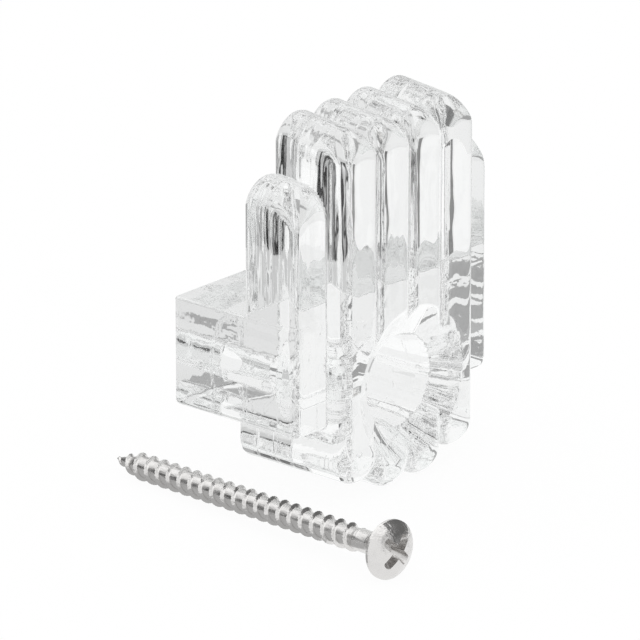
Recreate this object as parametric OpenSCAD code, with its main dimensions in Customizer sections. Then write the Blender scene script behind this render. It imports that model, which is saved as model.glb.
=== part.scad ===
// Clear moulded mirror clip with fluted ribs, and its raised countersunk wood screw.
// Millimetres. The wall is the plane y = 0, the room is at -Y, +Z is up.
// The origin is where the axis of the screw hole meets the wall.

/* [Block] */
// Width across the two outer ribs, which is also the width of the block
clip_w = 36; // [34:0.5:44]
// Depth of the block and the outer ribs from the wall
block_d = 19.8; // [18:0.2:26]
// Height of the ledge, on which the mirror stands, above the screw axis
ledge_h = 10.9; // [10:0.1:14]
// Depth of the block's underside below the screw axis
block_drop = 3.3; // [3:0.1:4.5]
// Gap between the wall and the back of the lip, which holds the mirror
mirror_gap = 11.5; // [10:0.1:13]
// Radius of the block's outer front edges
front_r = 1.3; // [0.6:0.1:2]
// Radius of the block's lower edges
under_r = 1; // [0.5:0.1:1.6]

/* [Ribs] */
// Distance between the centre lines of the four inner ribs
rib_pitch = 6; // [5.6:0.1:6.4]
// Width of each rib, wider than the pitch so that neighbours run into each other
rib_w = 7; // [6.6:0.1:7.4]
// Radius of the arch at each rib's top and foot
arch_r = 3.65; // [3.6:0.05:5]
// How far the inner ribs stand out in front of the outer ones
rib_step = 3.2; // [2:0.1:5]
// Height of the inner ribs above the screw axis
inner_top = 35.25; // [30:0.25:46]
// Height of the outer ribs above the screw axis
outer_top = 28.5; // [24:0.5:40]
// Foot of the two middle ribs below the screw axis
middle_foot = 12.9; // [12:0.1:16]
// Foot of the two ribs beside them below the screw axis
side_foot = 10.9; // [10.8:0.1:15]
// Distance from the wall to the back of the rib feet
foot_gap = 5.6; // [4:0.1:7]
// Fall of the rib tops towards the front, in degrees
top_fall = 5.8; // [0:0.2:12]
// Radius of the rib tops at the mirror side
top_back_r = 1.2; // [0.6:0.1:4]
// Radius of the rib tops at the front
nose_r = 4; // [1:0.1:4.5]
// Radius of the rib feet at the front
toe_r = 2.4; // [1:0.1:3]
// Radius of the rib feet at their back edge
heel_r = 0.3; // [0.1:0.1:1]
// Radius of the upright front edges of the inner ribs
flute_r = 2.5; // [1.6:0.1:3]

/* [Screw hole] */
// Diameter of the hole's mouth at the front of the ribs
mouth_d = 19.8; // [16:0.2:20.4]
// Depth of the wide cone behind the mouth
mouth_depth = 2.4; // [2:0.1:4]
// Diameter where the cone ends
land_d = 11.8; // [11:0.1:13]
// Length of the narrow taper behind the cone
land_depth = 1.9; // [1:0.1:3]
// Diameter of the straight counterbore for the head and the driver
counterbore_d = 10.8; // [9.6:0.1:10.9]
// Length of the clearance hole between the head seat and the wall
seat_y = 8; // [7:0.1:9]
// Clearance all round the screw in its hole
hole_play = 0.35; // [0.2:0.05:0.5]

/* [Screw] */
// Outer diameter of the screw's thread
screw_d = 3.5; // [3:0.1:4]
// Diameter of the core between the threads
core_d = 2.5; // [2:0.1:2.7]
// Length from the head's rim to the tip
screw_l = 49.5; // [36:0.5:60]
// Pitch of the thread
thread_pitch = 2; // [1.4:0.1:2.6]
// Length of the plain neck under the head
neck_l = 2.2; // [1:0.1:6]
// Length of the pointed tip
tip_l = 5; // [3:0.5:7]
// Length of the tapered underside of the head
flare_l = 2.8; // [2.2:0.1:3.2]
// Diameter of the head
head_d = 7.4; // [6.6:0.1:7.8]
// Thickness of the head's rim
rim_t = 0.35; // [0.2:0.05:0.6]
// Height of the dome on the head
dome_h = 1.5; // [0.8:0.1:2]
// Length across the wings of the cross recess
recess_l = 4.5; // [3:0.1:4.8]
// Width of a recess wing
recess_w = 1; // [0.6:0.1:1.2]
// Depth of the cross recess below the top of the dome
recess_depth = 2.1; // [1:0.1:2.4]

/* [Where the screw lies] */
// Sideways place of the head's rim
lie_x = -26; // [-40:0.1:-25]
// Place of the head's rim in front of the wall
lie_y = -41.7; // [-60:0.1:-30]
// Turn of the screw from the hole's direction, in degrees
lie_turn = -6.4; // [-12:0.1:-4]

/* [Hidden] */
$fn = 96;
// Steps in each rounded corner of a profile
arc_steps = 12;
eps = 0.01;
// The side views stand this far clear of the arches, so that no plane is tangent to one
arch_play = 0.02;
// The neck is this much thicker than the core, measured on the radius
neck_step = 0.15;
half_w = clip_w / 2;
rib_front = block_d + rib_step;
long = 3 * clip_w;
side_x = 1.5 * rib_pitch;
middle_x = 0.5 * rib_pitch;
outer_x = half_w - rib_w / 2;
floor_z = -middle_foot;
clear_d = screw_d + 2 * hole_play;
seat_d = head_d + 2 * hole_play;
neck_r = core_d / 2 + neck_step;
seat_depth = (seat_d - clear_d) / 2 * flare_l / (head_d / 2 - neck_r);
hole_mouth_y = rib_front;
// Half widths of a thread's foot and of its crest, as shares of the pitch
thread_foot = 0.22;
thread_crest = 0.04;
// The tip's rings, as shares of its length
tip_rings = 2;
tip_ring_foot = 0.1;
// Steps in the dome on the head
dome_steps = 6;
// The head's rim and the last full thread both touch the floor
lie_tilt = asin((head_d - screw_d) / 2 / (screw_l - tip_l));

// Corner of a profile cut to a radius: p is the corner, a and b the points before and after it
function unit(v) = v / norm(v);
function corner_arc(p, a, b, r) =
    let (u = unit(a - p), v = unit(b - p))
    let (half = acos(u * v) / 2)
    let (c = p + unit(u + v) * r / sin(half))
    let (start = p + u * r / tan(half) - c, end = p + v * r / tan(half) - c)
    let (turn = atan2(start.x * end.y - start.y * end.x, start * end))
    r <= 0 ? [p] : [for (i = [0 : arc_steps]) let (a = turn * i / arc_steps) c + [
        start.x * cos(a) - start.y * sin(a),
        start.x * sin(a) + start.y * cos(a)]];

// Polygon through the points, each corner with its own radius
module rounded(points, radii) {
    n = len(points);
    polygon([for (i = [0 : n - 1])
        each corner_arc(points[i], points[(i + n - 1) % n], points[(i + 1) % n], radii[i])]);
}

// A front view, [x, z], carried from the wall forwards
module from_front(depth) {
    rotate([90, 0, 0])
        linear_extrude(height = depth) children();
}

// A side view, [distance from the wall, z], carried across the clip
module from_side() {
    translate([-long / 2, 0, 0])
        rotate([90, 0, 90])
            linear_extrude(height = long)
                mirror([1, 0]) children();
}

// A plan view, [x, y], carried upwards
module from_top() {
    translate([0, 0, -long / 2])
        linear_extrude(height = long) children();
}

// Front view of a bar that hangs from the origin and ends there in an arch
module arched_bar() {
    translate([0, -arch_r]) circle(r = arch_r);
    translate([-arch_r, -long]) square([2 * arch_r, long - arch_r]);
}

// Bars whose arched tops fall towards the front, with the crest at its full height above the back rounding
module falling_bars(x, top) {
    for (side = [-1, 1])
        translate([side * x, -mirror_gap - top_back_r, top])
            rotate([top_fall, 0, 0])
                translate([0, long / 2, 0])
                    from_front(long) arched_bar();
}

// Bars whose arched feet lie level
module footed_bars(x, foot) {
    translate([0, 1, 0])
        from_front(rib_front + 2)
            for (side = [-1, 1])
                translate([side * x, foot])
                    mirror([0, 1]) arched_bar();
}

// Side view of an inner rib: upright back, falling top, rounded nose at both ends, and a foot clear of the wall
module inner_side_view(foot) {
    crest = mirror_gap + top_back_r;
    fall = tan(top_fall);
    top = inner_top + arch_play;
    rounded(
        [[mirror_gap, -block_drop], [foot_gap, -block_drop], [foot_gap, foot - arch_play],
         [rib_front, foot - arch_play], [rib_front, top - fall * (rib_front - crest)],
         [mirror_gap, top + fall * top_back_r]],
        [0, 0, heel_r, toe_r, nose_r, top_back_r]);
}

// One pair of inner ribs at x and -x
module inner_pair(x, foot) {
    intersection() {
        falling_bars(x, inner_top);
        footed_bars(x, foot);
        from_side()
            inner_side_view(foot);
        from_top()
            for (side = [-1, 1])
                translate([side * x, 0])
                    rounded(
                        [[-rib_w / 2, 0], [rib_w / 2, 0], [rib_w / 2, -rib_front], [-rib_w / 2, -rib_front]],
                        [0, 0, flute_r, flute_r]);
    }
}

// The block against the wall and the two outer ribs, flush with each other
module block_and_outer_ribs() {
    fall = tan(top_fall);
    intersection() {
        union() {
            intersection() {
                from_front(block_d + 1)
                    rounded(
                        [[-half_w, ledge_h], [-half_w, -block_drop], [half_w, -block_drop], [half_w, ledge_h]],
                        [0, under_r, under_r, 0]);
                from_side()
                    rounded(
                        [[0, ledge_h], [0, -block_drop], [block_d, -block_drop], [block_d, ledge_h]],
                        [0, under_r, front_r, 0]);
            }
            intersection() {
                falling_bars(outer_x, outer_top);
                from_side()
                    rounded(
                        [[mirror_gap, -block_drop + under_r], [block_d, -block_drop + under_r],
                         [block_d, outer_top + arch_play - fall * (block_d - mirror_gap - top_back_r)],
                         [mirror_gap, outer_top + arch_play + fall * top_back_r]],
                        [0, 0, nose_r, top_back_r]);
            }
        }
        from_top()
            rounded(
                [[-half_w, 1], [half_w, 1], [half_w, -block_d], [-half_w, -block_d]],
                [0, 0, front_r, front_r]);
    }
}

// The hole, as [radius, distance from the wall]: clearance hole, head seat, counterbore, taper and mouth
module screw_hole() {
    floor_y = seat_y + seat_depth;
    land_y = hole_mouth_y - mouth_depth;
    spread = (mouth_d - land_d) / 2 / mouth_depth;
    rotate([90, 0, 0])
        rotate_extrude()
            polygon([
                [0, -1], [clear_d / 2, -1], [clear_d / 2, seat_y], [seat_d / 2, floor_y],
                [counterbore_d / 2, floor_y], [counterbore_d / 2, land_y - land_depth],
                [land_d / 2, land_y], [mouth_d / 2 + spread, hole_mouth_y + 1], [0, hole_mouth_y + 1]]);
}

module clip_body() {
    color([0.9, 0.94, 0.95, 0.45])
        difference() {
            union() {
                block_and_outer_ribs();
                inner_pair(side_x, -side_foot);
                inner_pair(middle_x, -middle_foot);
            }
            screw_hole();
        }
}

// The screw along +Z from its tip at the origin to its head, all turned about its axis
module screw_turned() {
    half = screw_d / 2;
    core = core_d / 2;
    head = head_d / 2;
    neck_z = screw_l - rim_t - flare_l;
    dome_r = (head * head + dome_h * dome_h) / (2 * dome_h);
    turns = floor((neck_z - neck_l - tip_l) / thread_pitch);
    rotate_extrude()
        polygon(concat(
            [[0, 0]],
            [for (i = [1 : tip_rings])
                let (share = i / (tip_rings + 1))
                each [
                    [core * share, tip_l * (share - tip_ring_foot)],
                    [half * share, tip_l * share],
                    [core * share, tip_l * (share + tip_ring_foot)]]],
            [[core, tip_l - (thread_foot + tip_ring_foot) * thread_pitch]],
            [for (i = [0 : turns - 1]) each [
                [core, tip_l + (i - thread_foot) * thread_pitch],
                [half, tip_l + (i - thread_crest) * thread_pitch],
                [half, tip_l + (i + thread_crest) * thread_pitch],
                [core, tip_l + (i + thread_foot) * thread_pitch]]],
            [[neck_r, neck_z - neck_l], [neck_r, neck_z], [head, screw_l - rim_t], [head, screw_l]],
            [for (i = [1 : dome_steps])
                let (a = asin(head / dome_r) * (1 - i / dome_steps))
                [dome_r * sin(a), screw_l + dome_h - dome_r * (1 - cos(a))]]));
}

// The cross recess: two crossed wings that narrow towards the bottom
module cross_recess() {
    top = screw_l + dome_h;
    for (a = [45, 135])
        rotate([0, 0, a])
            rotate([90, 0, 0])
                translate([0, top - recess_depth, -recess_w / 2])
                    linear_extrude(height = recess_w)
                        polygon([
                            [-recess_w / 2, 0], [recess_w / 2, 0],
                            [recess_l / 2, recess_depth + eps], [recess_l / 2, recess_depth + 1],
                            [-recess_l / 2, recess_depth + 1], [-recess_l / 2, recess_depth + eps]]);
}

module fixing_screw() {
    color([0.78, 0.79, 0.8])
        translate([lie_x, lie_y, floor_z + head_d / 2 * cos(lie_tilt)])
            rotate([0, 0, lie_turn])
                rotate([90 - lie_tilt, 0, 0])
                    translate([0, 0, -screw_l])
                        difference() {
                            screw_turned();
                            cross_recess();
                        }
}

clip_body();
fixing_screw();
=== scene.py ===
import bpy
import numpy as np
from mathutils import Matrix, Vector


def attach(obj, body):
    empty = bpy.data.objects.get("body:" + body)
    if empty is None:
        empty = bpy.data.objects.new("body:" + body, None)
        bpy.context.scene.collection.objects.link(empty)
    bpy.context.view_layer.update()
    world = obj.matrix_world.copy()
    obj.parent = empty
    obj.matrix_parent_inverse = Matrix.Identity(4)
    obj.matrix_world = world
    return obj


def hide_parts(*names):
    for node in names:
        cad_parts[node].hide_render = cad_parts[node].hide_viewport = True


# A clear moulded mirror clip and its steel screw. Shapes are worked out in millimetres and put in as metres.
# The wall is the plane y = 0, the room is at -y, z is up, and the screw hole's axis meets the wall at the origin.

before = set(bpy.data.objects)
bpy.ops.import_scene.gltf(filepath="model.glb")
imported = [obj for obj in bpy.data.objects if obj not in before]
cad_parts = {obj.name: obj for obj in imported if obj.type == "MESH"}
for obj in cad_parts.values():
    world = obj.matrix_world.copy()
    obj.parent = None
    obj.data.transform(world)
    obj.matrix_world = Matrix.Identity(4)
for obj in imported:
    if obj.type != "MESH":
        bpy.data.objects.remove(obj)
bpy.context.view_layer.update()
millimetre = 0.001


def makeObject(name, points, faceSets, material, normals=None):
    # a smooth mesh object at the origin, from points in mm and arrays of faces
    mesh = bpy.data.meshes.new(name)
    mesh.from_pydata((points * millimetre).tolist(), [], sum((part.tolist() for part in faceSets), []))
    mesh.polygons.foreach_set("use_smooth", np.ones(len(mesh.polygons), dtype=bool))
    mesh.update()
    if normals is not None:
        mesh.normals_split_custom_set_from_vertices(normals.tolist())
    mesh.materials.append(material)
    obj = bpy.data.objects.new(name, mesh)
    bpy.context.collection.objects.link(obj)
    return obj


def setSockets(shader, values):
    for socket, value in values.items():
        shader.inputs[socket].default_value = value


def newMaterial(name):
    material = bpy.data.materials.new(name)
    material.use_nodes = True
    return material, material.node_tree.nodes, material.node_tree.links, material.node_tree.nodes["Principled BSDF"]


def addNoise(nodes, links, scale, stretch, detail):
    # noise on Object coordinates, stretched by a Mapping node; the scale is in cells per metre
    place = nodes.new("ShaderNodeTexCoord")
    mapping = nodes.new("ShaderNodeMapping")
    mapping.inputs["Scale"].default_value = stretch
    noise = nodes.new("ShaderNodeTexNoise")
    setSockets(noise, {"Scale": scale, "Detail": detail})
    links.new(place.outputs["Object"], mapping.inputs["Vector"])
    links.new(mapping.outputs["Vector"], noise.inputs["Vector"])
    return noise.outputs["Fac"]


def addMath(nodes, links, operation, first, second):
    step = nodes.new("ShaderNodeMath")
    step.operation = operation
    for socket, value in zip(step.inputs, (first, second)):
        if isinstance(value, (int, float)):
            socket.default_value = value
        else:
            links.new(value, socket)
    return step.outputs["Value"]


def addRange(nodes, links, value, start, end, smooth=False):
    # carries the value's stretch (low, high) over to the stretch (low, high) of the end, and holds it beyond
    step = nodes.new("ShaderNodeMapRange")
    if smooth:
        step.interpolation_type = "SMOOTHSTEP"
    setSockets(step, {"From Min": start[0], "From Max": start[1], "To Min": end[0], "To Max": end[1]})
    links.new(value, step.inputs["Value"])
    return step.outputs["Result"]


def addBump(nodes, links, shader, height, distance):
    bump = nodes.new("ShaderNodeBump")
    setSockets(bump, {"Strength": 1.0, "Distance": distance})
    links.new(height, bump.inputs["Height"])
    links.new(bump.outputs["Normal"], shader.inputs["Normal"])


# Relief of the moulding: noise in cells per metre, stretched, with its height in mm. A relief that is kept near
# something names (axis, place, reach): it shows where the coordinate is within the reach of the place, on either
# side of zero. Swings are counted from the middle of the noise, so that a relief has no step at its border.
plasticLook = {
    "tint": (0.985, 0.992, 0.99, 1), "ior": 1.49, "roughness": 0.035, "noiseMiddle": 0.5,
    "relief": {
        "ripple": {"scale": 160, "stretch": (1, 1, 0.3), "detail": 1, "height": 0.035},
        "grain": {"scale": 1700, "stretch": (1, 1, 1), "detail": 2, "height": 0.002},
        "lipBack": {"scale": 210, "stretch": (1, 1, 0.35), "detail": 2, "height": 0.34, "near": [("Y", 11.5, 0.4)]},
        "flankStreaks": {"scale": 300, "stretch": (1, 0.1, 1), "detail": 1, "height": 0.28,
                         "near": [("X", 18, 0.6), ("Z", 2, 11)]},
        "flankMottle": {"scale": 500, "stretch": (1, 0.6, 1), "detail": 2, "height": 0.04,
                        "near": [("X", 18, 0.6), ("Z", 2, 11)]},
        "ledgeMottle": {"scale": 650, "stretch": (1, 1, 1), "detail": 2, "height": 0.08, "near": [("Z", 10.9, 0.5)]},
        "boreStreaks": {"scale": 600, "stretch": (1, 0.04, 1), "detail": 2, "height": 0.3,
                        "near": [("around", 5.4, 0.8)]},
        "wallMottle": {"scale": 300, "stretch": (1, 1, 1), "detail": 2, "height": 0.04, "near": [("Y", 0, 0.5)]}}}


def nearPlace(nodes, links, axis, where, reach):
    # 1 on the faces that lie at the place on the axis, fading to 0 at the reach; "around" is the radius about Y
    place = nodes.new("ShaderNodeTexCoord")
    parts = nodes.new("ShaderNodeSeparateXYZ")
    links.new(place.outputs["Object"], parts.inputs["Vector"])
    if axis == "around":
        squares = [addMath(nodes, links, "POWER", parts.outputs[letter], 2.0) for letter in ("X", "Z")]
        size = addMath(nodes, links, "SQRT", addMath(nodes, links, "ADD", *squares), 0)
    else:
        size = addMath(nodes, links, "ABSOLUTE", parts.outputs[axis], 0)
    away = addMath(nodes, links, "ABSOLUTE", addMath(nodes, links, "SUBTRACT", size, where * millimetre), 0)
    return addRange(nodes, links, away, (reach * millimetre / 2, reach * millimetre), (1.0, 0.0), smooth=True)


def clearPlastic():
    # clear moulded acrylic: full transmission, its reliefs added up to one height in metres
    material, nodes, links, shader = newMaterial("clear_acrylic")
    setSockets(shader, {"Base Color": plasticLook["tint"], "Roughness": plasticLook["roughness"],
                        "IOR": plasticLook["ior"], "Transmission Weight": 1.0})
    height = 0
    for relief in plasticLook["relief"].values():
        noise = addNoise(nodes, links, relief["scale"], relief["stretch"], relief["detail"])
        swing = addMath(nodes, links, "SUBTRACT", noise, plasticLook["noiseMiddle"])
        part = addMath(nodes, links, "MULTIPLY", swing, relief["height"] * millimetre)
        for spot in relief.get("near", ()):
            part = addMath(nodes, links, "MULTIPLY", part, nearPlace(nodes, links, *spot))
        height = addMath(nodes, links, "ADD", part, height)
    addBump(nodes, links, shader, height, 1.0)
    return material


# the recess colour is the same plated steel painted darker, as painted shade inside the driver's cross recess
steelLook = {"colour": (0.74, 0.73, 0.72, 1), "recessShadeColour": (0.62, 0.61, 0.60, 1),
             "patchScale": 900, "patchDetail": 4.0, "patchEnds": (0.35, 0.65), "roughEnds": (0.12, 0.34),
             "scratchScale": 1800, "scratchStretch": (1, 0.2, 1), "scratchDetail": 3.0, "scratchHeight": 0.00009}


def brightSteel(name, colour):
    # bright plated steel: patches of gloss and haze, and fine drawn scratches
    material, nodes, links, shader = newMaterial(name)
    setSockets(shader, {"Base Color": colour, "Metallic": 1.0})
    patches = addNoise(nodes, links, steelLook["patchScale"], (1, 1, 1), steelLook["patchDetail"])
    haze = addRange(nodes, links, patches, steelLook["patchEnds"], steelLook["roughEnds"])
    links.new(haze, shader.inputs["Roughness"])
    scratches = addNoise(nodes, links, steelLook["scratchScale"], steelLook["scratchStretch"],
                         steelLook["scratchDetail"])
    addBump(nodes, links, shader, scratches, steelLook["scratchHeight"])
    return material


acrylic = clearPlastic()
steel = brightSteel("plated_steel", steelLook["colour"])
# the recess steel is darker only as painted shade in the cross recess
recessShadeSteel = brightSteel("recess_painted_shade_steel", steelLook["recessShadeColour"])
print("materials made")


# The clip. Heights are z and depths are counted from the wall. The outer ribs' foot lies far below, because they are
# cut off outerRise above the block's underside. The grid's box is a little larger than the clip and off round
# numbers, so that no flat face falls on the grid's own points.
clipShape = {
    "halfWidth": 18.0, "blockDepth": 19.8, "ledgeHeight": 10.9, "blockDrop": 3.3, "mirrorGap": 11.5,
    "frontRadius": 1.3, "underRadius": 1.0, "edgeRadius": 0.3, "valleyRadius": 0.2,
    "ribPitch": 6.0, "ribWidth": 7.0, "archRadius": 3.65, "archInset": 0.1, "shoulderRadius": 0.5, "ribFront": 23.0,
    "innerTop": 35.25, "outerTop": 28.5, "legTop": 8.0, "middleFoot": -12.9, "sideFoot": -10.9,
    "outerFoot": -40.0, "outerRise": 1.5, "footGap": 5.6, "topFall": np.tan(np.radians(5.8)),
    "backRadius": 1.2, "noseRadius": 4.2, "toeRadius": 2.4, "fluteRadius": 2.5, "holeRim": 0.25,
    "gridLow": (-18.613, -23.617, -13.511), "gridHigh": (18.7, 0.8, 36.6), "gridStep": 0.32,
    "settlePasses": 4, "settleReach": 0.01, "leastSlope": 0.2, "normalReach": 0.08}

holeShape = {"clearRadius": 2.1, "seatStart": 8.0, "seatRadius": 4.05, "seatDepth": 2.37, "boreRadius": 5.4,
             "landStart": 18.7, "landRadius": 5.9, "coneStart": 20.6, "mouthRadius": 9.9}


def roundedMeet(a, b, radius):
    # where two solids overlap, with the edge between them turned to the radius; values are signed distances
    return np.minimum(-radius, np.maximum(a, b)) + np.hypot(np.maximum(radius + a, 0), np.maximum(radius + b, 0))


def roundedJoin(a, b, radius):
    # two solids together, with the valley between them filled to the radius
    return -roundedMeet(-a, -b, radius)


def ribField(x, depth, z, centre, top, foot, back, front, fluteRadius):
    # A rib is an upright bar with arched ends, whose top falls towards the front. The side distance is the distance
    # to the bar's middle line less the arch radius. The top is a height: crest minus fall times depth minus the
    # arch's sag, rounded into the back plane and the front plane.
    s = clipShape
    across = np.abs(x - centre)
    crest = top - s["topFall"] * (depth - s["mirrorGap"] - s["backRadius"])
    beyond = np.maximum(np.maximum(z - (crest - s["archRadius"]), foot + s["archRadius"] - z), 0)
    arch = np.hypot(across, beyond) - s["archRadius"]
    bar = roundedMeet(arch, across - s["ribWidth"] / 2, s["shoulderRadius"])
    within = np.minimum(across, s["archRadius"] - s["archInset"])
    sag = s["archRadius"] - np.sqrt(s["archRadius"] ** 2 - within ** 2)
    lid = roundedMeet(z - crest + sag, back - depth, s["backRadius"])
    lid = roundedMeet(lid, depth - front, s["noseRadius"])
    sole = roundedMeet(foot + sag - z, depth - front, s["toeRadius"])
    face = roundedMeet(bar, depth - front, fluteRadius)
    return roundedMeet(np.maximum(lid, sole), face, s["edgeRadius"])


def holeField(x, depth, z):
    # the screw hole as circles about the depth axis: clearance bore, head seat, counterbore, taper and mouth cone
    h = holeShape
    radius = np.hypot(x, z)
    seatSlope = (h["seatRadius"] - h["clearRadius"]) / h["seatDepth"]
    seat = (radius - h["clearRadius"] - seatSlope * (depth - h["seatStart"])) / np.hypot(1, seatSlope)
    seat = np.maximum(seat, depth - h["seatStart"] - h["seatDepth"])
    bore = np.maximum(radius - h["boreRadius"], h["seatStart"] + h["seatDepth"] - depth)
    landSlope = (h["landRadius"] - h["boreRadius"]) / (h["coneStart"] - h["landStart"])
    land = np.maximum(radius - h["boreRadius"] - landSlope * (depth - h["landStart"]), h["landStart"] - depth)
    coneSlope = (h["mouthRadius"] - h["landRadius"]) / (clipShape["ribFront"] - h["coneStart"])
    cone = (radius - h["landRadius"] - coneSlope * (depth - h["coneStart"])) / np.hypot(1, coneSlope)
    cone = np.maximum(cone, h["coneStart"] - depth)
    return np.minimum.reduce([radius - h["clearRadius"], seat, bore, land, cone])


def clipField(x, y, z):
    # The whole moulding as one signed field, negative inside the plastic: block and outer ribs share one plan
    # outline, the four inner ribs run into each other in valleys, and the hole is taken away.
    s = clipShape
    depth = -y
    plan = roundedMeet(np.abs(x) - s["halfWidth"], depth - s["blockDepth"], s["frontRadius"])
    block = roundedMeet(plan, -s["blockDrop"] - z, s["underRadius"])
    block = roundedMeet(block, np.maximum(z - s["ledgeHeight"], -depth), s["edgeRadius"])
    outerCentre = s["halfWidth"] - s["ribWidth"] / 2
    outer = ribField(np.abs(x), depth, z, outerCentre, s["outerTop"], s["outerFoot"], s["mirrorGap"],
                     s["blockDepth"], s["frontRadius"])
    outer = np.maximum(outer, -s["blockDrop"] + s["outerRise"] - z)
    solid = roundedJoin(block, outer, s["valleyRadius"])
    for centre, foot in ((0.5, s["middleFoot"]), (1.5, s["sideFoot"])):
        place = centre * s["ribPitch"]
        rib = ribField(np.abs(x), depth, z, place, s["innerTop"], foot, s["mirrorGap"], s["ribFront"],
                       s["fluteRadius"])
        leg = ribField(np.abs(x), depth, z, place, s["legTop"], foot, s["footGap"], s["ribFront"], s["fluteRadius"])
        solid = roundedJoin(solid, np.minimum(rib, leg), s["valleyRadius"])
    return roundedMeet(solid, -holeField(x, depth, z), s["holeRim"])


def fieldSlope(field, points, reach):
    # the field's change over twice the reach, along each axis
    steps = np.eye(3) * reach
    return np.stack([(field(*(points + d).T) - field(*(points - d).T)) / (2 * reach) for d in steps], axis=1)


def netSurface(field, low, high, step):
    # The surface where the field is zero, as quads: one point in each grid cell that the surface crosses, at the
    # mean of the crossings on the cell's edges, then moved along the field's slope until the field is zero.
    axes = [np.arange(a, b, step) for a, b in zip(low, high)]
    grid = np.meshgrid(*axes, indexing="ij")
    values = field(*grid)
    cellShape = tuple(n - 1 for n in values.shape)
    total = np.zeros(cellShape + (3,))
    count = np.zeros(cellShape)
    crossings = []
    for axis in range(3):
        order = (axis, (axis + 1) % 3, (axis + 2) % 3)
        v = values.transpose(order)
        crossed = (v[:-1] < 0) != (v[1:] < 0)
        share = np.where(crossed, v[:-1] / np.where(crossed, v[:-1] - v[1:], 1), 0)
        spot = np.stack([grid[k].transpose(order)[:-1] for k in range(3)], axis=-1)
        spot[..., axis] += share * step
        sums = total.transpose(order + (3,))
        counts = count.transpose(order)
        for j in (0, 1):
            for k in (0, 1):
                inner = (slice(None), slice(1 - j, v.shape[1] - j), slice(1 - k, v.shape[2] - k))
                part = crossed[inner]
                sums += np.where(part[..., None], spot[inner], 0)
                counts += part
        crossings.append((order, crossed[:, 1:-1, 1:-1], v[:-1, 1:-1, 1:-1] < 0))
    used = count > 0
    index = np.full(cellShape, -1)
    index[used] = np.arange(used.sum())
    points = total[used] / count[used][:, None]
    quads = []
    for order, crossed, insideFirst in crossings:
        cells = index.transpose(order)
        around = np.stack([cells[:, :-1, :-1], cells[:, 1:, :-1], cells[:, 1:, 1:], cells[:, :-1, 1:]], axis=-1)
        outwards = around[crossed & insideFirst]
        inwards = around[crossed & ~insideFirst][:, ::-1]
        quads += [outwards, inwards]
    for _ in range(clipShape["settlePasses"]):
        slope = fieldSlope(field, points, clipShape["settleReach"])
        steepness = np.maximum((slope ** 2).sum(1), clipShape["leastSlope"])
        points = points - slope * (field(*points.T) / steepness)[:, None]
    return points, np.concatenate(quads)


points, quads = netSurface(clipField, clipShape["gridLow"], clipShape["gridHigh"], clipShape["gridStep"])
slopes = fieldSlope(clipField, points, clipShape["normalReach"])
clipPiece = makeObject("clear_clip", points, [quads], acrylic, slopes / np.linalg.norm(slopes, axis=1)[:, None])
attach(clipPiece, "root")
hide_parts("clip_body")
print("clip made:", len(points), "points,", len(quads), "quads")


# The screw is made upright on its tip and then laid down. Radii, lengths and heights are in mm. A curve is the power
# that a taper follows, and a share is a part of the pitch, the tip or the recess's depth.
screwShape = {
    "outer": 1.75, "core": 1.32, "neck": 1.4, "head": 3.7, "length": 49.5, "pitch": 2.0, "neckLength": 2.2,
    "tip": 5.0, "tipStart": 0.05, "coreCurve": 0.8, "threadCurve": 0.7, "threadTipShare": 0.9, "peakShare": 0.14,
    "neckBlend": 0.4, "fadeBefore": 1.0, "fadeAfter": 0.6, "flare": 2.8, "flareCurve": 1.5, "rim": 0.35,
    "rimDrop": 0.08, "rimTurn": 0.06, "dome": 1.5, "domeEnd": 0.02,
    "rowStep": 0.07, "columns": 72, "flareRows": 14, "domeRows": 16, "sharpAngle": 38,
    "place": (-26.0, -41.7), "turn": -6.4, "floor": -12.9}

# The recess has four levels from above the head to its floor; wings and widths are shares of its length and width.
recessShape = {"length": 2.5, "width": 0.62, "depth": 2.1, "above": 0.6, "lip": 0.35, "kneeShare": 0.7,
               "wings": (1.2, 1.0, 0.66, 0.34), "widths": (1.1, 1.0, 0.85, 0.6), "endBulge": 0.6,
               "endAngles": (-90, -60, -30, 0, 30, 60, 90), "firstTurn": 45}


def gridFaces(rows, columns):
    # quads of a tube: rows along it, columns around it and closed on themselves
    row, column = np.meshgrid(np.arange(rows - 1), np.arange(columns), indexing="ij")
    here = row * columns + column
    beside = row * columns + (column + 1) % columns
    return np.stack([here, beside, beside + columns, here + columns], axis=-1).reshape(-1, 4)


def layDown(points):
    # turns the upright shape so that its head's rim and its last threads rest on the floor
    w = screwShape
    tilt = np.arcsin((w["head"] - w["outer"]) / (w["length"] - w["tip"]))
    rim = Vector((w["place"][0], w["place"][1], w["floor"] + w["head"] * np.cos(tilt)))
    matrix = (Matrix.Translation(rim) @ Matrix.Rotation(np.radians(w["turn"]), 4, "Z")
              @ Matrix.Rotation(np.pi / 2 - tilt, 4, "X") @ Matrix.Translation((0, 0, -w["length"])))
    m = np.array(matrix)
    return points @ m[:3, :3].T + m[:3, 3]


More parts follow.
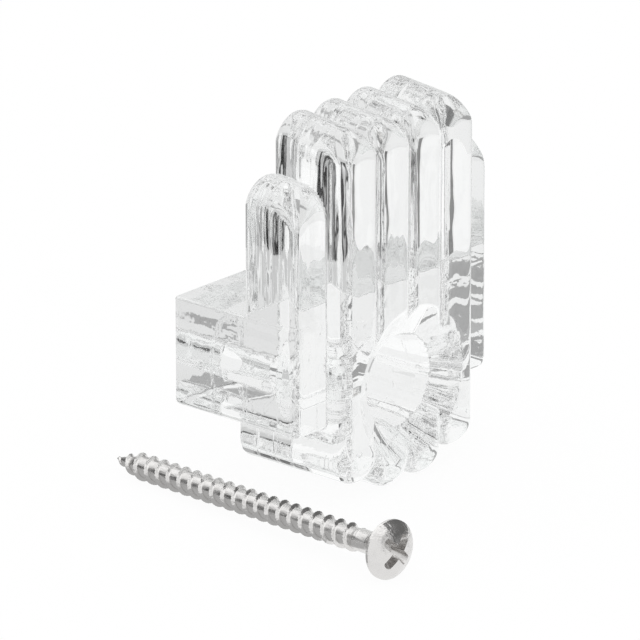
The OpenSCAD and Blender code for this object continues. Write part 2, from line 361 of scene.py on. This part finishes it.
def screwSurface():
    # Radius as a function of height and angle: a core that runs out to a point, plus a thread whose height is a
    # narrow peak at height / pitch = angle / full turn, then a plain neck, a flared head, its rim and its dome.
    w = screwShape
    headStart = w["length"] - w["rim"] - w["flare"]
    threadEnd = headStart - w["neckLength"]
    shank = np.arange(w["tipStart"], headStart, w["rowStep"])
    core = w["core"] * np.clip(shank / w["tip"], 0, 1) ** w["coreCurve"]
    core += (w["neck"] - w["core"]) * np.clip((shank - threadEnd) / w["neckBlend"] + 1, 0, 1)
    reach = np.clip(shank / (w["threadTipShare"] * w["tip"]), 0, 1) ** w["threadCurve"] * w["outer"]
    fade = np.clip((threadEnd + w["fadeAfter"] - shank) / (w["fadeBefore"] + w["fadeAfter"]), 0, 1)
    reach = np.where(shank > threadEnd - w["fadeBefore"], core + (w["outer"] - core) * fade, reach)
    flare = np.linspace(0, 1, w["flareRows"])[1:]
    domeRadius = (w["head"] ** 2 + w["dome"] ** 2) / (2 * w["dome"])
    rise = np.linspace(np.arcsin(w["head"] / domeRadius), w["domeEnd"], w["domeRows"])
    heights = np.concatenate([shank, headStart + flare * w["flare"], [w["length"] - w["rimDrop"], w["length"]],
                              w["length"] + w["dome"] - domeRadius * (1 - np.cos(rise))])
    plain = np.concatenate([core, w["neck"] + (w["head"] - w["neck"]) * flare ** w["flareCurve"],
                            [w["head"], w["head"] - w["rimTurn"]], domeRadius * np.sin(rise)])
    extra = np.concatenate([np.maximum(reach - core, 0), np.zeros(len(heights) - len(shank))])
    angle = np.linspace(0, 2 * np.pi, w["columns"], endpoint=False)
    phase = (heights[:, None] / w["pitch"] - angle[None, :] / (2 * np.pi) + 0.5) % 1.0 - 0.5
    peak = np.clip(1.0 - np.abs(phase) / w["peakShare"], 0, 1)
    radius = plain[:, None] + extra[:, None] * peak
    upright = np.repeat(heights[:, None], w["columns"], 1)
    body = np.stack([radius * np.cos(angle), radius * np.sin(angle), upright], -1)
    points = np.concatenate([body.reshape(-1, 3), [[0, 0, 0], [0, 0, w["length"] + w["dome"]]]])
    rows = len(heights)
    ring = np.arange(w["columns"])
    after = (ring + 1) % w["columns"]
    lastRow = (rows - 1) * w["columns"]
    tipFan = np.stack([after, ring, np.full_like(ring, rows * w["columns"])], -1)
    topFan = np.stack([ring + lastRow, after + lastRow, np.full_like(ring, rows * w["columns"] + 1)], -1)
    return points, [gridFaces(rows, w["columns"]), tipFan, topFan]


def recessSurface():
    # the driver's cross: an outline of four round-ended wings, made smaller towards the bottom
    r = recessShape
    top = screwShape["length"] + screwShape["dome"]
    levels = top + np.array([r["above"], -r["lip"], -r["depth"] * r["kneeShare"], -r["depth"]])
    wing = (r["length"] * np.array(r["wings"]))[:, None]
    half = (r["width"] * np.array(r["widths"]))[:, None]
    ends = np.radians(np.array(r["endAngles"]))
    along = np.hstack([wing + r["endBulge"] * half * (np.cos(ends) - 1), half])
    across = np.hstack([half * np.sin(ends), half])
    arm = np.stack([along, across], -1)
    turns = [np.radians(90 * quarter + r["firstTurn"]) for quarter in range(4)]
    rings = [arm @ np.array([[np.cos(t), np.sin(t)], [-np.sin(t), np.cos(t)]]) for t in turns]
    outline = np.concatenate(rings, axis=1)
    count = outline.shape[1]
    points = np.concatenate([outline, np.repeat(levels[:, None, None], count, 1)], -1).reshape(-1, 3)
    lastLevel = (len(levels) - 1) * count
    caps = np.stack([np.arange(count), np.arange(lastLevel, lastLevel + count)[::-1]])
    return points, [gridFaces(len(levels), count)[:, ::-1], caps]


screwPoints, screwFaces = screwSurface()
screwPiece = makeObject("wood_screw", layDown(screwPoints), screwFaces, steel)
cutPoints, cutFaces = recessSurface()
cutter = makeObject("recess", layDown(cutPoints), cutFaces, recessShadeSteel)
cut = screwPiece.modifiers.new("recess", "BOOLEAN")
cut.operation = "DIFFERENCE"
cut.solver = "EXACT"
# the cut faces of the cross take the cutter's darker steel, which is painted shade in the recess
cut.material_mode = "TRANSFER"
cut.object = cutter
graph = bpy.context.evaluated_depsgraph_get()
screwPiece.data = bpy.data.meshes.new_from_object(screwPiece.evaluated_get(graph))
screwPiece.modifiers.clear()
bpy.data.objects.remove(cutter)
screwPiece.data.polygons.foreach_set("use_smooth", np.ones(len(screwPiece.data.polygons), dtype=bool))
screwPiece.data.set_sharp_from_angle(angle=np.radians(screwShape["sharpAngle"]))
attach(screwPiece, "root")
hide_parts("fixing_screw")
print("screw made:", len(screwPiece.data.vertices), "points")


# The studio: a pale floor, grey cards, and a room with a bright ceiling. The floor is seen as white paper by the
# camera, in reflections and, a little dimmer, through the plastic.
studio = {
    "floorZ": -12.9, "floorSize": 3000, "floorColour": (0.95, 0.95, 0.95, 1), "floorRoughness": 0.9,
    "whiteShare": 0.95, "throughWhite": 0.9,
    "bandEnds": (0.35, 0.7), "bandGlow": (0.45, 1.25),
    "openSide": (-0.75, -0.65, 0.0), "openEnds": (0.3, 0.9), "openGlow": (0.0, 1.0), "throughGlow": 0.95,
    "cardColumns": 17, "mottleScale": 110, "mottleStretch": (1, 1, 0.45), "mottleDetail": 1,
    "mottleEnds": (0.44, 0.56)}

shot = {"azimuth": -48.87, "elevation": 19.77, "lens": 450.0, "sensor": 36.0, "distance": 992.3,
        "right": 5.94, "up": 2.75, "clipNear": 0.05, "clipFar": 20, "bounces": 24, "innerBounces": 9}

half = studio["floorSize"] / 2
floorPoints = np.array([[-half, -half, studio["floorZ"]], [half, -half, studio["floorZ"]],
                        [half, half, studio["floorZ"]], [-half, half, studio["floorZ"]]], dtype=float)
floorMaterial, nodes, links, shader = newMaterial("studio_floor")
setSockets(shader, {"Base Color": studio["floorColour"], "Roughness": studio["floorRoughness"],
                    "Specular IOR Level": 0.0})
paper = nodes.new("ShaderNodeEmission")
ray = nodes.new("ShaderNodeLightPath")
mix = nodes.new("ShaderNodeMixShader")
direct = addMath(nodes, links, "MAXIMUM", ray.outputs["Is Camera Ray"], ray.outputs["Is Glossy Ray"])
seen = addMath(nodes, links, "MAXIMUM", direct, ray.outputs["Is Transmission Ray"])
share = addMath(nodes, links, "MULTIPLY", seen, studio["whiteShare"])
dimmed = addMath(nodes, links, "MULTIPLY", ray.outputs["Is Transmission Ray"], 1 - studio["throughWhite"])
links.new(addMath(nodes, links, "SUBTRACT", 1.0, dimmed), paper.inputs["Strength"])
links.new(share, mix.inputs["Fac"])
links.new(shader.outputs["BSDF"], mix.inputs[1])
links.new(paper.outputs["Emission"], mix.inputs[2])
links.new(mix.outputs["Shader"], nodes["Material Output"].inputs["Surface"])
floor = makeObject("floor", floorPoints, [np.array([[0, 1, 2, 3]])], floorMaterial)

# Grey cards around the clip, which the camera doesn't see. Each is an arc about the clip between two angles, counted
# in degrees from the picture's right-hand side towards its back, and two edges given as (distance, height) in mm.
# Cards with "through" show only through the clear plastic, and the others only in reflections. A card with "pale"
# is mottled between its two greys.
cards = {
    "frontFloor": {"turn": (240, 315), "edges": ((47, 0.1), (75, 0.1)), "grey": 0.2, "through": True},
    "frontRight": {"turn": (315, 345), "edges": ((45, 0.1), (75, 0.1)), "grey": 0.4, "through": True},
    "rightFloor": {"turn": (-15, 45), "edges": ((22, 0.1), (75, 0.1)), "grey": 0.78, "through": True},
    "rightStrip": {"turn": (-20, 15), "edges": ((50, 0.2), (54, 0.2)), "grey": 0.4, "through": True},
    "rightWall": {"turn": (-15, 22), "edges": ((75, 0), (75, 56)), "grey": 0.6, "through": True},
    "rightBand": {"turn": (-15, 22), "edges": ((74, 30), (74, 36)), "grey": 0.4, "through": True},
    "rightStripe": {"turn": (-15, 12), "edges": ((74, 8), (74, 28)), "grey": 0.0, "pale": 0.75, "through": True},
    "cornerWall": {"turn": (22, 40), "edges": ((75, 6), (75, 26)), "grey": 0.35, "through": True},
    "backStrip": {"turn": (55, 66), "edges": ((75, 0), (75, 24)), "grey": 0.2, "through": True},
    "backPaper": {"turn": (70, 112), "edges": ((76, 0), (76, 30)), "grey": 1.0, "through": True},
    "leftWall": {"turn": (135, 222), "edges": ((75, 22), (75, 56)), "grey": 0.3, "through": True},
    "leftFloor": {"turn": (150, 215), "edges": ((25, 0.1), (45, 0.1)), "grey": 0.4, "through": True},
    "lowShade": {"turn": (165, 280), "edges": ((20, 0.1), (75, 0.1)), "grey": 0.5, "through": False},
    "rightShade": {"turn": (-55, 50), "edges": ((70, 0), (70, 100)), "grey": 0.16, "through": False},
    "leftShade": {"turn": (130, 210), "edges": ((72, 0), (72, 24)), "grey": 0.12, "through": False}}

columns = studio["cardColumns"]
cardFaces = np.arange(columns - 1)[:, None] + np.array([[0, 1, columns + 1, columns]])
for name, card in cards.items():
    angles = np.radians(np.linspace(*card["turn"], columns) + shot["azimuth"])[:, None]
    rows = [np.hstack([reach * np.cos(angles), reach * np.sin(angles), np.full_like(angles, studio["floorZ"] + rise)])
            for reach, rise in card["edges"]]
    material, nodes, links, shader = newMaterial(name)
    setSockets(shader, {"Base Color": (0, 0, 0, 1), "Specular IOR Level": 0.0, "Emission Color": (1, 1, 1, 1),
                        "Emission Strength": card["grey"]})
    if "pale" in card:
        patches = addNoise(nodes, links, studio["mottleScale"], studio["mottleStretch"], studio["mottleDetail"])
        tone = addRange(nodes, links, patches, studio["mottleEnds"], (card["grey"], card["pale"]))
        links.new(tone, shader.inputs["Emission Strength"])
    screen = makeObject(name, np.concatenate(rows), [cardFaces], material)
    screen.visible_camera = screen.visible_diffuse = screen.visible_shadow = False
    screen.visible_transmission = card["through"]
    screen.visible_glossy = not card["through"]

# The room: a bright ceiling, a dim band of wall around it, and one opening in the band behind the camera. Through
# the plastic it is one plain tone.
world = bpy.data.worlds.new("studio")
bpy.context.scene.world = world
world.use_nodes = True
nodes, links = world.node_tree.nodes, world.node_tree.links
way = nodes.new("ShaderNodeTexCoord")
parts = nodes.new("ShaderNodeSeparateXYZ")
links.new(way.outputs["Generated"], parts.inputs["Vector"])
rise = addRange(nodes, links, parts.outputs["Z"], studio["bandEnds"], studio["bandGlow"], smooth=True)
facing = nodes.new("ShaderNodeVectorMath")
facing.operation = "DOT_PRODUCT"
facing.inputs[1].default_value = studio["openSide"]
links.new(way.outputs["Generated"], facing.inputs[0])
opening = addRange(nodes, links, facing.outputs["Value"], studio["openEnds"], studio["openGlow"], smooth=True)
paths = nodes.new("ShaderNodeLightPath")
choice = nodes.new("ShaderNodeMix")
choice.inputs["B"].default_value = studio["throughGlow"]
links.new(paths.outputs["Is Transmission Ray"], choice.inputs["Factor"])
links.new(addMath(nodes, links, "MAXIMUM", rise, opening), choice.inputs["A"])
links.new(choice.outputs["Result"], nodes["Background"].inputs["Strength"])
nodes["Background"].inputs["Color"].default_value = (1, 1, 1, 1)

azimuth, elevation = np.radians(shot["azimuth"]), np.radians(shot["elevation"])
right = Vector((np.cos(azimuth), np.sin(azimuth), 0))
forward = Vector((-np.cos(elevation) * np.sin(azimuth), np.cos(elevation) * np.cos(azimuth), -np.sin(elevation)))
upward = right.cross(forward)
camera = bpy.data.objects.new("camera", bpy.data.cameras.new("camera"))
bpy.context.collection.objects.link(camera)
camera.data.lens = shot["lens"]
camera.data.sensor_width = shot["sensor"]
camera.data.clip_start = shot["clipNear"]
camera.data.clip_end = shot["clipFar"]
camera.location = (upward * shot["up"] + right * shot["right"] - forward * shot["distance"]) * millimetre
camera.rotation_euler = Matrix((right, upward, -forward)).transposed().to_euler()
bpy.context.scene.camera = camera
bpy.context.scene.view_settings.view_transform = "Standard"
cycles = bpy.context.scene.cycles
cycles.max_bounces = cycles.transmission_bounces = shot["bounces"]
cycles.glossy_bounces = shot["innerBounces"]
print("studio and camera ready")
